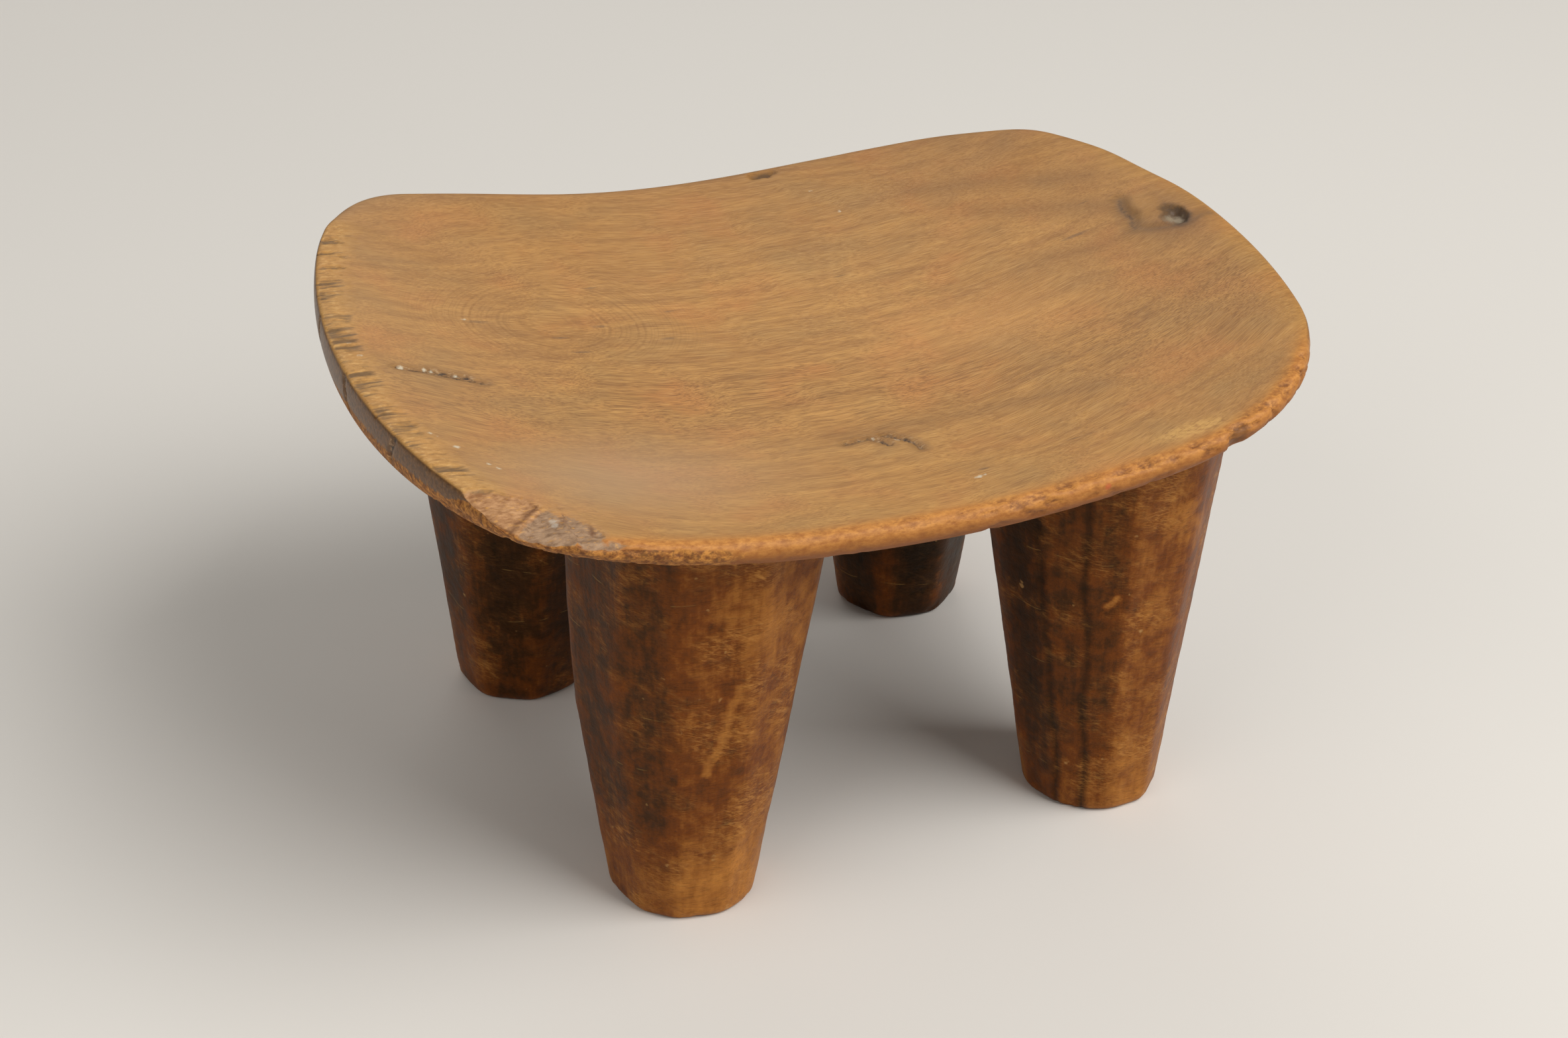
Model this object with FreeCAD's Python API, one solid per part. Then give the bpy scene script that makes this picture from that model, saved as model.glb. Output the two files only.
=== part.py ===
import FreeCAD, Part
import math
import os

V = FreeCAD.Vector

# Seat, millimetres. X runs along the seat, Z is up, the floor is z = 0.
seat_length = 248.0
seat_width = 198.0
rim_height = 138.0
end_radius = 215.0
side_radius = 1700.0
corner_radius = {"front_left": 28.0, "front_right": 61.0, "rear_left": 32.0, "rear_right": 74.0}

# Dish of the top and belly of the underside: each rises from the middle to the ends and to the sides.
dish_rise_ends = 20.0
dish_rise_sides = 6.5
seat_mid_thickness = 18.0
rim_thickness_ends = 14.0
rim_thickness_sides = 7.5
top_edge_radius = 2.5
under_edge_radius = 2.0

# Legs. Feet stand in from the seat's ends and long sides; set out by eye, so the front pair stands
# further right and the right pair further back.
foot_inset_ends = 65.0
foot_inset_sides = 45.5
leg_stagger_length = 6.5
leg_stagger_width = 2.1
leg_lean = 3.4
foot_width = 36.5
leg_growth_per_mm = 0.29
foot_bevel_height = 4.0
foot_bevel_width = 2.5
leg_facets = 10

# Hidden joint between a leg and the seat.
tenon_diameter = 26.0
tenon_depth = 8.0
tenon_clearance = 0.15
tenon_end_gap = 0.5

# Room that cutting shapes reach past what they cut.
tool_margin = 15.0

dish_mid_height = rim_height - dish_rise_ends
belly_mid_height = dish_mid_height - seat_mid_thickness
belly_rise_ends = dish_rise_ends + seat_mid_thickness - rim_thickness_ends
belly_rise_sides = dish_rise_sides + seat_mid_thickness - rim_thickness_sides
dish = (dish_mid_height, dish_rise_ends, dish_rise_sides)
belly = (belly_mid_height, belly_rise_ends, belly_rise_sides)

# Side of the seat on which each corner and each leg lies: X sign, Y sign.
corner_sides = {
    "rear_right": (1, 1),
    "rear_left": (-1, 1),
    "front_left": (-1, -1),
    "front_right": (1, -1),
}


def radius_of_rise(half_span, rise):
    """Radius of the arc that climbs by rise over half its span."""
    return (half_span**2 + rise**2) / (2 * rise)


def bowl_radii(rise_ends, rise_sides):
    """Radii of a bowl's curves along and across the seat."""
    return radius_of_rise(seat_length / 2, rise_ends), radius_of_rise(seat_width / 2, rise_sides)


def bowl_height(x, y, mid_height, rise_ends, rise_sides):
    """Height of a bowl's surface at a point in plan."""
    along, across = bowl_radii(rise_ends, rise_sides)
    across_height = mid_height + across - math.sqrt(across**2 - y**2)
    axis_height = mid_height + along
    return axis_height - math.sqrt((axis_height - across_height) ** 2 - x**2)


def bowl_tool(mid_height, rise_ends, rise_sides):
    """Barrel about an axis along Y, drawn at its top and turned round; its lowest skin is the bowl."""
    axis_height = mid_height + bowl_radii(rise_ends, rise_sides)[0]
    reach = seat_width / 2 + tool_margin
    edge_height = bowl_height(0, reach, mid_height, rise_ends, rise_sides)
    near, far = V(0, -reach, 2 * axis_height - edge_height), V(0, reach, 2 * axis_height - edge_height)
    near_axis, far_axis = V(0, -reach, axis_height), V(0, reach, axis_height)
    skin = Part.Arc(near, V(0, 0, 2 * axis_height - mid_height), far).toShape()
    rest = Part.makePolygon([far, far_axis, near_axis, near])
    profile = Part.Face(Part.Wire([skin] + rest.Edges))
    return profile.revolve(V(0, 0, axis_height), V(0, 1, 0), 360)


def corner_points(name):
    """Tangent point on the end, middle of the round and tangent point on the long side."""
    sx, sy = corner_sides[name]
    radius = corner_radius[name]
    end_centre = V(seat_length / 2 - end_radius, 0, 0)
    side_centre = V(0, seat_width / 2 - side_radius, 0)
    span = side_centre - end_centre
    to_end, to_side = end_radius - radius, side_radius - radius
    along = (to_end**2 - to_side**2 + span.Length**2) / (2 * span.Length)
    unit = V(span).normalize()
    centre = end_centre + unit * along + V(-unit.y, unit.x, 0) * math.sqrt(to_end**2 - along**2)
    end_way = (centre - end_centre).normalize()
    side_way = (centre - side_centre).normalize()
    middle_way = (end_way + side_way).normalize()
    points = [centre + way * radius for way in (end_way, middle_way, side_way)]
    return [V(sx * p.x, sy * p.y, 0) for p in points]


def seat_outline():
    """Closed plan of the seat: two bowed ends, two bowed sides and four round corners."""
    corners = {name: corner_points(name) for name in corner_sides}
    edges = [Part.Arc(*points).toShape() for points in corners.values()]
    right, left = V(seat_length / 2, 0, 0), V(-seat_length / 2, 0, 0)
    rear, front = V(0, seat_width / 2, 0), V(0, -seat_width / 2, 0)
    for first, middle, second in (("front_right", right, "rear_right"), ("rear_left", left, "front_left")):
        edges.append(Part.Arc(corners[first][0], middle, corners[second][0]).toShape())
    for first, middle, second in (("rear_right", rear, "rear_left"), ("front_left", front, "front_right")):
        edges.append(Part.Arc(corners[first][2], middle, corners[second][2]).toShape())
    return Part.Wire(Part.__sortEdges__(edges))


def foot_centre(name):
    """Middle of a leg's sole in plan."""
    sx, sy = corner_sides[name]
    x = sx * (seat_length / 2 - foot_inset_ends) - sy * leg_stagger_length
    y = sy * (seat_width / 2 - foot_inset_sides) + sx * leg_stagger_width
    return V(x, y, 0)


def root_centre(name):
    """Middle of a leg's tenon where it meets the underside of the seat."""
    sx, sy = corner_sides[name]
    middle = foot_centre(name) - V(sx * leg_lean, sy * leg_lean, 0)
    return middle + V(0, 0, bowl_height(middle.x, middle.y, *belly))


def leg_section(name, height, inset):
    """Regular polygon across a leg at a height, drawn in by inset."""
    root = root_centre(name)
    middle = foot_centre(name) + (root - foot_centre(name)) * (height / root.z)
    radius = foot_width / 2 + leg_growth_per_mm * height / 2 - inset
    turns = [2 * math.pi * (i + 0.5) / leg_facets for i in range(leg_facets)]
    ring = [V(middle.x + radius * math.cos(t), middle.y + radius * math.sin(t), height) for t in turns]
    return Part.makePolygon(ring + ring[:1])


def tenon(name, clearance, end_gap):
    """Round peg on a leg's root, or the mortise for it when the gaps are given."""
    root = root_centre(name)
    start = root - V(0, 0, tool_margin)
    return Part.makeCylinder(tenon_diameter / 2 + clearance, tool_margin + tenon_depth + end_gap, start)


def make_leg(name):
    """Tapered facetted leg trimmed to the belly, with its tenon."""
    sections = [
        leg_section(name, 0, foot_bevel_width),
        leg_section(name, foot_bevel_height, 0),
        leg_section(name, rim_height, 0),
    ]
    blank = Part.makeLoft(sections, True, True)
    return blank.cut(bowl_tool(*belly)).fuse(tenon(name, 0, 0)).removeSplitter()


def round_rim(seat, radius, place):
    """Rounds the edge of the underside (place 0) or of the dish (place 1): the two broadest faces."""
    broad = sorted(seat.Faces, key=lambda face: face.Area)[-2:]
    face = sorted(broad, key=lambda face: face.CenterOfMass.z)[place]
    return seat.makeFillet(radius, face.Edges)


def make_seat():
    """Dished slab with rounded rims and a blind mortise over each leg."""
    slab = Part.Face(seat_outline()).extrude(V(0, 0, rim_height + tool_margin))
    seat = slab.cut(bowl_tool(*dish)).common(bowl_tool(*belly))
    seat = round_rim(seat, top_edge_radius, 1)
    seat = round_rim(seat, under_edge_radius, 0)
    for name in corner_sides:
        seat = seat.cut(tenon(name, tenon_clearance, tenon_end_gap))
    return seat


os.makedirs("parts", exist_ok=True)
pieces = {"seat": make_seat()}
for name in corner_sides:
    pieces["leg_" + name] = make_leg(name)
for node, shape in pieces.items():
    solid = shape.Solids[0]
    print(node, len(shape.Solids), solid.isValid(), round(solid.Volume), solid.optimalBoundingBox())
    solid.exportStep("parts/" + node + ".step")
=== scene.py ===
# %% [markdown]
# # A carved stool
# The stool is a low seat with a dished top that sweeps up at both ends, on four stout legs hewn to
# rough facets. It was probably carved from one block, with the grain along the seat. The CAD model
# gives the true sizes, and this lesson lays a worn, hand-made skin over it in the same frame.

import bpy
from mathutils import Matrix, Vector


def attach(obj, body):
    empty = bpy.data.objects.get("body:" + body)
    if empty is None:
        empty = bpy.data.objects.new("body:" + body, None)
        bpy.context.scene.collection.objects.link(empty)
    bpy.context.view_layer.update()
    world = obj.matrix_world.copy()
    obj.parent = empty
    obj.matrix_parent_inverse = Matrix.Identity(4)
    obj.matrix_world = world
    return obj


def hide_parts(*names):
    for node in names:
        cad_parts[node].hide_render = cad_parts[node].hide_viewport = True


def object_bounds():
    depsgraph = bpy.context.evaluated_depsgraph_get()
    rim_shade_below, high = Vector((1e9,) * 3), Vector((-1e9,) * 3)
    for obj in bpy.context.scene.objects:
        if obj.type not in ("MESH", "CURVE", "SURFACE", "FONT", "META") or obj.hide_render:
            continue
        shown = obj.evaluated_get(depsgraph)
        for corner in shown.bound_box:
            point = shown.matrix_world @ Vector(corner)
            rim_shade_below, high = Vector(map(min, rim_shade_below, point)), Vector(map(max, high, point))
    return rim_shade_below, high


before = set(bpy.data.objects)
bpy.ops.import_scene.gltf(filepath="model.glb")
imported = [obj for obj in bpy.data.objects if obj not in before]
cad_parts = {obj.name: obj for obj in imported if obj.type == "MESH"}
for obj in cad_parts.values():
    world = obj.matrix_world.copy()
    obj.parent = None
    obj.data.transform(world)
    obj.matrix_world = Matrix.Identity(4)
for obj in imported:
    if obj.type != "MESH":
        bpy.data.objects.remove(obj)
cad_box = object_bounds()
print("CAD box, m:", cad_box)

# %% [markdown]
# Carved wood has no repeated units that a modifier could make, so each piece is a fine grid of points
# that is bent into shape with formulas. Every length is in millimetres, as a carver would measure it,
# and is turned into metres only when a mesh is made.

# %% Measuring tools
import math

import bpy
import numpy as np
from mathutils import Matrix, Vector, noise

mm = 0.001
cad_low = np.array(cad_box[0]) / mm
cad_high = np.array(cad_box[1]) / mm


def ease(start, end, value):
    """0 before start, 1 after end and a smooth climb between."""
    t = np.clip((np.asarray(value, float) - start) / (end - start), 0, 1)
    return t * t * (3 - 2 * t)


def lumps(points, size, seed=0.0):
    """Smooth noise from about -1 to 1 at each point, its lumps about size across."""
    return np.array([noise.noise(p) for p in (points / size + seed).tolist()])


def from_line(points, line):
    """Distance in plan, or on a skin laid flat, from each point to a line through several corners."""
    nearest = np.full(len(points), 1e3)
    for a, b in zip(np.array(line[:-1], float), np.array(line[1:], float)):
        share = np.clip((points[:, :2] - a) @ (b - a) / ((b - a) @ (b - a)), 0, 1)
        nearest = np.minimum(nearest, np.hypot(*(points[:, :2] - a - share[:, None] * (b - a)).T))
    return nearest


def inside(points, corners):
    """How far each point lies inside a patch in plan whose corners all point out; negative outside."""
    corners = np.array(corners, float)
    least = np.full(len(points), 1e3)
    for a, b in zip(corners, np.roll(corners, -1, 0)):
        across = np.array([a[1] - b[1], b[0] - a[0]]) / np.hypot(*(b - a))
        across = across * np.sign((corners.mean(0) - a) @ across)
        least = np.minimum(least, (points[:, :2] - a) @ across)
    return least


# %% From points to a piece
def make_piece(name, points, faces):
    """Smooth mesh object from points in millimetres."""
    mesh = bpy.data.meshes.new(name)
    mesh.from_pydata((points * mm).tolist(), [], faces)
    mesh.shade_smooth()
    piece = bpy.data.objects.new(name, mesh)
    bpy.context.collection.objects.link(piece)
    print(name, len(points), "points", len(faces), "faces")
    return piece


def facing(piece):
    """Direction that each point of a piece faces."""
    ways = np.zeros(len(piece.data.vertices) * 3)
    piece.data.vertices.foreach_get("normal", ways)
    return ways.reshape(-1, 3)


def settle(piece, points, marks):
    """Moves a piece's points, kept inside the CAD box, and stores the marks its material reads."""
    kept = np.clip(points, cad_low, cad_high)
    piece.data.vertices.foreach_set("co", (kept * mm).ravel())
    for mark, values in marks.items():
        store = piece.data.attributes.new(mark, "FLOAT", "POINT")
        store.data.foreach_set("value", np.asarray(values, np.float32))
    piece.data.update()


# %% [markdown]
# ## The seat's plan
# Seen from above the seat is a rectangle whose ends and sides bow out and whose corners are rounded,
# each by a different amount because they were cut by eye. Eight arcs in a ring describe it. An arc is
# easy to follow by length, and the way out from its centre is also the way out of the wood.

# %% Eight arcs round the seat
half_length = 124.0
half_width = 99.0
end_bow = 215.0
side_bow = 1700.0
corner_rounds = {"rear_right": 74.0, "rear_left": 32.0, "front_left": 28.0, "front_right": 61.0}


def corner_arc(radius):
    """A rear right corner that touches the end and side arcs: its centre, and the angles where it does."""
    end_centre = complex(half_length - end_bow, 0)
    side_centre = complex(0, half_width - side_bow)
    span = side_centre - end_centre
    to_end = end_bow - radius
    along = (to_end**2 - (side_bow - radius) ** 2 + abs(span) ** 2) / (2 * abs(span))
    centre = end_centre + span / abs(span) * complex(along, math.sqrt(to_end**2 - along**2))
    at_end, at_side = [math.atan2((centre - c).imag, (centre - c).real) for c in (end_centre, side_centre)]
    return centre.real, centre.imag, radius, at_end, at_side


def seat_arcs():
    """Centre, radius, first and last angle of each arc, anticlockwise from the right end's front."""
    turn = math.pi
    corners = {name: corner_arc(radius) for name, radius in corner_rounds.items()}
    rr_x, rr_y, rr_round, rr_end, rr_side = corners["rear_right"]
    rl_x, rl_y, rl_round, rl_end, rl_side = corners["rear_left"]
    fl_x, fl_y, fl_round, fl_end, fl_side = corners["front_left"]
    fr_x, fr_y, fr_round, fr_end, fr_side = corners["front_right"]
    return np.array([
        (half_length - end_bow, 0, end_bow, -fr_end, rr_end),
        (rr_x, rr_y, rr_round, rr_end, rr_side),
        (0, half_width - side_bow, side_bow, rr_side, turn - rl_side),
        (-rl_x, rl_y, rl_round, turn - rl_side, turn - rl_end),
        (end_bow - half_length, 0, end_bow, turn - rl_end, turn + fl_end),
        (-fl_x, -fl_y, fl_round, turn + fl_end, turn + fl_side),
        (0, side_bow - half_width, side_bow, turn + fl_side, 2 * turn - fr_side),
        (fr_x, -fr_y, fr_round, 2 * turn - fr_side, 2 * turn - fr_end),
    ])


arcs = seat_arcs()
arc_lengths = arcs[:, 2] * (arcs[:, 4] - arcs[:, 3])
arc_starts = np.concatenate([[0], np.cumsum(arc_lengths)])
right_middle = arcs[0, 2] * -arcs[0, 3]
print("Way round the seat, mm:", round(arc_starts[-1], 1))

# %% [markdown]
# The carver's eye strayed from those arcs by a millimetre or two. Each stray is a soft bump at a share
# of the way round, counted anticlockwise from the middle of the right end. It moves the rim in or up.

# %% Strays, and the plan as drawn
# Share of the way round, spread as a share, millimetres in, millimetres up.
strays = [
    (.055, .02, 1.3, -.4),
    (.105, .018, 0, 1.7),
    (.165, .025, 0, -1.2),
    (.33, .042, 0, 2.1),
    (.385, .018, 1.2, 0),
    (.67, .045, 0, -1.1),
]
inward, upward = 2, 3


def by_eye(share, column):
    """Sum of the strays at shares of the way round, inward or upward."""
    total = np.zeros(np.shape(share))
    for stray in strays:
        apart = (np.asarray(share) - stray[0] + .5) % 1 - .5
        total += stray[column] * np.exp(-(apart / stray[1]) ** 2)
    return total


def outline(share):
    """Points and outward ways on the plan, at shares of the way round."""
    way = (np.asarray(share) * arc_starts[-1] + right_middle) % arc_starts[-1]
    which = np.clip(np.searchsorted(arc_starts, way, "right") - 1, 0, len(arcs) - 1)
    angle = arcs[which, 3] + (way - arc_starts[which]) / arcs[which, 2]
    out = np.stack([np.cos(angle), np.sin(angle)], -1)
    return arcs[which, :2] + (arcs[which, 2] - by_eye(share, inward))[:, None] * out, out


# %% [markdown]
# ## Dish and belly
# The top is a shallow bowl that rises more to the ends than to the sides, and the underside is a
# deeper one, so that the rim comes out thin. These are the CAD model's own curves.

# %% Two bowls
# Height in the middle, and the rise from there to the ends and to the sides.
dish = (118.0, 20.0, 6.5)
belly = (100.0, 24.0, 17.0)


def bowl(points, middle, rise_ends, rise_sides):
    """Height of a bowl over points in plan."""
    x, y = points[:, 0], points[:, 1]
    along = (half_length**2 + rise_ends**2) / (2 * rise_ends)
    across = (half_width**2 + rise_sides**2) / (2 * rise_sides)
    ridge = middle + across - np.sqrt(across**2 - y**2)
    axis = middle + along
    return axis - np.sqrt((axis - ridge) ** 2 - x**2)


# %% [markdown]
# ## The seat as one grid
# A square grid is wrapped onto the plan ring by ring, like the layers of an onion with corners, so
# its outer ring has one point for each step round the rim. Rings of the same count then roll over the
# rim along a profile, and a coarser grid closes the underside, which few people see.

# %% Wrap a square grid onto the plan
top_cells = 240
under_cells = 120
lip_inset = 9.0
under_inset = 8.0


def wrapped_grid(cells, inset):
    """Plan points of a grid, their share round the rim, their inset from it, and the grid's rows."""
    steps = np.linspace(-1, 1, cells + 1)
    u, v = [g.ravel() for g in np.meshgrid(steps, steps)]
    ring = np.maximum(np.maximum(abs(u), abs(v)), 1e-9)
    sides = [u >= ring, v >= ring, -u >= ring]
    share = np.select(sides, [v / ring, 2 - u / ring, 4 - v / ring], 6 + u / ring) / 8
    edge, out = outline(share)
    edge = edge - inset * out
    depth = inset + (1 - ring) * (edge * out).sum(1)
    rows = np.arange((cells + 1) ** 2).reshape(cells + 1, cells + 1)
    return edge * ring[:, None], share % 1, depth, rows


def grid_faces(rows, flip):
    """Four-sided faces between neighbouring rows of point numbers."""
    a, b, c, d = rows[:-1, :-1], rows[:-1, 1:], rows[1:, 1:], rows[1:, :-1]
    corners = (d, c, b, a) if flip else (a, b, c, d)
    return np.stack([k.ravel() for k in corners], 1).tolist()


def grid_border(rows):
    """Point numbers round a grid's border, anticlockwise from the middle of its right side."""
    last = len(rows) - 1
    ring = np.concatenate([rows[:-1, last], rows[last, :0:-1], rows[:0:-1, 0], rows[0, :-1]])
    return np.roll(ring, -(last // 2))


# %% [markdown]
# The rim differs between the ends and the long sides. At an end a worn, nearly level lip breaks at a
# crisp edge into an upright band that bulges a little. Along a side the rim is thin and rubbed round.
# Each profile is a few pairs: how far in from the plan, and the share of the way from dish to belly.

# %% Rim profiles
end_profile = [(9, -.06), (7, -.045), (5, -.02), (3.2, .01), (2, .035), (1.2, .065), (.75, .1), (.5, .16),
               (.3, .25), (.1, .38), (0, .5), (.1, .62), (.5, .76), (1.3, .88), (2.6, .96), (5, 1), (8, 1)]
side_profile = [(9, 0), (7, 0), (5, .005), (3.4, .02), (2.2, .06), (1.3, .12), (.8, .19), (.45, .27),
                (.2, .36), (.05, .48), (0, .6), (.2, .7), (.6, .79), (1.3, .88), (2.4, .96), (5, 1), (8, 1)]
rim_rings = 25
rim_wall = 12
lip_lift = .06


def even_steps(profile):
    """A profile read at even steps along its own length, on a wall of the rim's height."""
    pairs = np.array(profile, float)
    lengths = np.hypot(*(np.diff(pairs, axis=0) * (1, rim_wall)).T)
    way = np.concatenate([[0], np.cumsum(lengths)])
    steps = np.linspace(0, way[-1], rim_rings)
    return np.stack([np.interp(steps, way, column) for column in pairs.T], 1)


def end_like(out):
    """1 where the rim faces along the seat, 0 where it faces across."""
    return ease(.78, .96, abs(out[:, 0]))


rim_shares = np.arange(4 * top_cells) / (4 * top_cells)
rim_points, rim_out = outline(rim_shares)
at_end = end_like(rim_out)[None, :, None]
profiles = even_steps(side_profile)[:, None] * (1 - at_end) + even_steps(end_profile)[:, None] * at_end
print("Rim:", rim_rings, "rings of", len(rim_shares), "points")

# %% Points of the seat
top_plan, top_share, top_depth, top_rows = wrapped_grid(top_cells, lip_inset)
under_plan, under_share, under_depth, under_rows = wrapped_grid(under_cells, under_inset)
rim_depth = profiles[1:-1, :, 0].ravel()
rim_drop = profiles[1:-1, :, 1].ravel()
ring_count = rim_rings - 2
rim_plan = (rim_points[None] - profiles[1:-1, :, :1] * rim_out[None]).reshape(-1, 2)

plan = np.concatenate([top_plan, rim_plan, under_plan])
share_round = np.concatenate([top_share, np.tile(rim_shares, ring_count), under_share])
depth_in = np.concatenate([top_depth, rim_depth, under_depth])
out_way = outline(share_round)[1]
lift = end_like(out_way) * lip_lift * (1 - ease(lip_inset, 45, depth_in))
drop = np.concatenate([-lift[:len(top_plan)], rim_drop, np.ones(len(under_plan))])
height = (1 - drop) * bowl(plan, *dish) + drop * bowl(plan, *belly)
height += by_eye(share_round, upward) * (1 - ease(0, 55, depth_in))
seat_points = np.concatenate([plan, height[:, None]], 1)

# %% Faces of the seat
first_rim = len(top_plan)
first_under = first_rim + len(rim_plan)
rim_numbers = first_rim + np.arange(len(rim_plan)).reshape(ring_count, -1)
rings = np.concatenate([grid_border(top_rows)[None], rim_numbers])
rings = np.concatenate([rings, rings[:, :1]], 1)
inner = first_under + grid_border(under_rows)
inner = np.append(inner, inner[0])
last_ring = rings[-1]
seat_faces = grid_faces(top_rows, False) + grid_faces(rings, True)
seat_faces += grid_faces(first_under + under_rows, True)
seat_faces += [[int(last_ring[2 * i]), int(inner[i]), int(inner[i + 1]), int(last_ring[2 * i + 2]),
                int(last_ring[2 * i + 1])] for i in range(len(inner) - 1)]
seat = make_piece("seat_skin", seat_points, seat_faces)

# %% [markdown]
# ## Years of use
# The seat shows what happened to it: nicks across the left lip, a broken front corner, a torn front
# rim, knots and splits. Each is cut into the points, and is also kept as a mark at every point, so
# that the material can stain the same places. A distance makes a good mark, because the material can
# turn it into an edge as sharp as it likes.

# %% Nicks across the left lip
x, y, z = seat_points.T
on_top = 1 - ease(.02, .1, drop)
# Added to a distance, this keeps a mark away from where it does not belong.
out_of_reach = 6
off_top = out_of_reach * (1 - on_top)
left_end = ease(.8, .93, -out_way[:, 0]) * ease(-77, -71, y)
right_end = ease(.8, .93, out_way[:, 0])
lip = (left_end + right_end) * ease(10.5, 7, depth_in) * (1 - ease(.07, .12, drop))
nicks = .8 * lumps(seat_points, np.array([15, 1.35, 40]), 3.1)
nicks += .45 * lumps(seat_points, np.array([6, 3, 30]), 1.7) - .8 * (1 - lip * left_end)
hollow = .75 * ease(0, .5, nicks)
marks = {"roll": drop, "inset": np.minimum(depth_in, 20), "left": left_end, "right": right_end}
marks["nicks"] = nicks
print("Share of the left lip that is nicked:", round(float((nicks[lip * left_end > .5] > .2).mean()), 2))

# %% Splits
splits = [
    [(-9.5, -52.2), (-5.8, -51.2), (-2.9, -51.2), (-1.5, -52.4), (-.4, -53.8), (.8, -56)],
    [(1.2, -50.6), (3.2, -52.2), (6, -55.6), (7, -57.5), (7.2, -61)],
    [(-109.5, -2.8), (-104.5, -3.2), (-100.5, -3.8), (-96.6, -5), (-93.4, -5.6), (-88.5, -7)],
    [(-101, -2.4), (-97, -3.2), (-92, -4.6)],
]
split_distance = np.min([from_line(seat_points, line) for line in splits], 0) + off_top
band = left_end * ease(.09, .13, drop) * (1 - ease(.75, .9, drop))
band_middle = 131
# Cracks up the left band: how far along it they are at its middle, and their slant.
for crack_y, slant in ((-7.9, .5), (25.2, .3), (-38, -.4)):
    crack = abs(y - crack_y - slant * (z - band_middle)) + .25 * lumps(seat_points, 2.0)
    split_distance = np.minimum(split_distance, crack + out_of_reach * (1 - band))
hollow += .75 * ease(1.4, .2, split_distance)
marks["split"] = np.minimum(split_distance, 8)
marks["arris"] = left_end * ease(.35, .75, drop) * (.4 + .6 * ease(25, -30, y))

# %% Knot, notch and flecks
deep_crevice = [(104.7, 27.8), (103.8, 24), (103.3, 21.9), (103.6, 17.4), (102.4, 14.5), (102, 12.4)]
faint_crevice = [(102, 12.4), (104.5, 9.2), (108.1, 6.8), (112.5, 4), (114.7, 4.6), (118.7, 6.1), (123, 5.2)]
# The faint crevice counts as further off, so it comes out shallower and paler.
fainter_by = .9
faint_distance = from_line(seat_points, faint_crevice) + fainter_by
crevice_distance = np.minimum(from_line(seat_points, deep_crevice), faint_distance) + off_top
knot_distance = np.hypot((x - 113) / .75, (y - 10) / 1.35) + off_top
knot_distance += 1.6 * lumps(seat_points, 3.1, 2.4) * ease(12, 6, knot_distance)
filler_distance = np.hypot(x - 112, (y - 8.8) / 1.1) + off_top
knot_lump = np.hypot((x - 108) / 1.1, (y - 20.5) / 1.6)
notch_distance = np.hypot((x - 24) / 2.1, y - 94.4) + out_of_reach * ease(.5, .8, drop)
notch_distance += 1.1 * lumps(seat_points, np.array([2.8, 1.6, 3]), 6.6)
# Dark flecks of slate brown: where they lie in plan, half their length and half their width.
flecks = [(-48.3, 24.8, 3.2, .8), (-60.7, 19.2, 3, .7), (-32, 15.8, 3, .9), (-57.3, 10.8, 3.4, .7),
          (-80.6, 27.7, 4.5, .9), (-44, 46, 3, .6), (-27, 30, 2.6, .6), (16, -78.5, 2.2, .8), (88, 20, 5, 1)]
fleck_distance = np.min([np.hypot((x - a) / long, (y - b) / wide) for a, b, long, wide in flecks], 0)
# Specks of old white filler: where they lie in plan and how wide they are.
specks = [(-111.1, -40, .9), (-109.4, -41.6, .7), (-106.5, -47, 1.3), (-101.2, -55.5, .9), (-99.4, -57.8, .8),
          (33.4, 80.8, .7), (37.1, 67.1, .8), (12.4, -82.3, .8), (13.6, -82, .9), (14.8, -81.7, .7),
          (-108.4, -2.4, 1), (-102.5, -2.2, .9), (-100.6, -2.6, .9), (-95, -3.6, .9), (3.6, -54.4, 1.1),
          (-1.6, -51.4, .7), (-84, 28.6, .8), (-118.6, 9, .8), (-117.5, 2, .9)]
speck_distance = np.min([np.hypot(x - a, y - b) - .6 * r for a, b, r in specks], 0) + off_top
hollow += 2.0 * ease(4.0, 1.8, knot_distance) - .6 * ease(5.5, 1.5, knot_lump) * on_top
hollow += 1.4 * ease(2.6, 1.1, notch_distance) + .6 * ease(3.2, .3, crevice_distance)
marks["knot"] = np.minimum(knot_distance, 25)
marks["filler"] = np.minimum(filler_distance, 8)
marks["crevice"] = np.minimum(crevice_distance, 8)
marks["swirl"] = np.minimum(knot_lump + off_top, 12)
marks["notch"] = np.minimum(notch_distance, 8)
marks["fleck"] = np.minimum(fleck_distance + off_top, 8)
marks["speck"] = np.minimum(speck_distance, 6)
print(len(splits), "splits,", len(flecks), "flecks,", len(specks), "specks")

# %% [markdown]
# At the front left corner the rim has split away along the grain. A few nearly level breaks are left,
# with small steps between them. Each is a flat cut that works only inside its own patch of the plan,
# and a little roughness keeps its edges from looking sawn.

# %% Broken corner
# Each break: its patch in plan, a point on it, the way it faces, and its tone from rust 0 to white 1.
breaks = [
    ([(-92.5, -76.5), (-110, -69.5), (-124, -76), (-104, -89)], (-101, -73.5, 134.4), (.05, -.12, .98), .3),
    ([(-91.6, -76), (-104.5, -88), (-100, -99), (-91.6, -99)], (-97.5, -81.5, 132.5), (-.03, -.03, .99), .6),
    ([(-91.6, -75.5), (-91.6, -99), (-85, -99), (-85, -81.5)], (-88, -80, 132.0), (0, -.03, 1), .6),
    ([(-85.5, -88.5), (-85.5, -101), (-62, -101), (-62, -95.5)], (-75, -95.5, 130.5), (.05, -.45, .89), .55),
]
above_arris = 1 - ease(.55, .8, drop)
rough = lumps(seat_points, np.array([7, 4, 4]), 7.7) + .5 * lumps(seat_points, np.array([3.2, 2.2, 2.2]), 1.3)
worn_points = seat_points.copy()
broken = np.zeros(len(seat_points))
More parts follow.
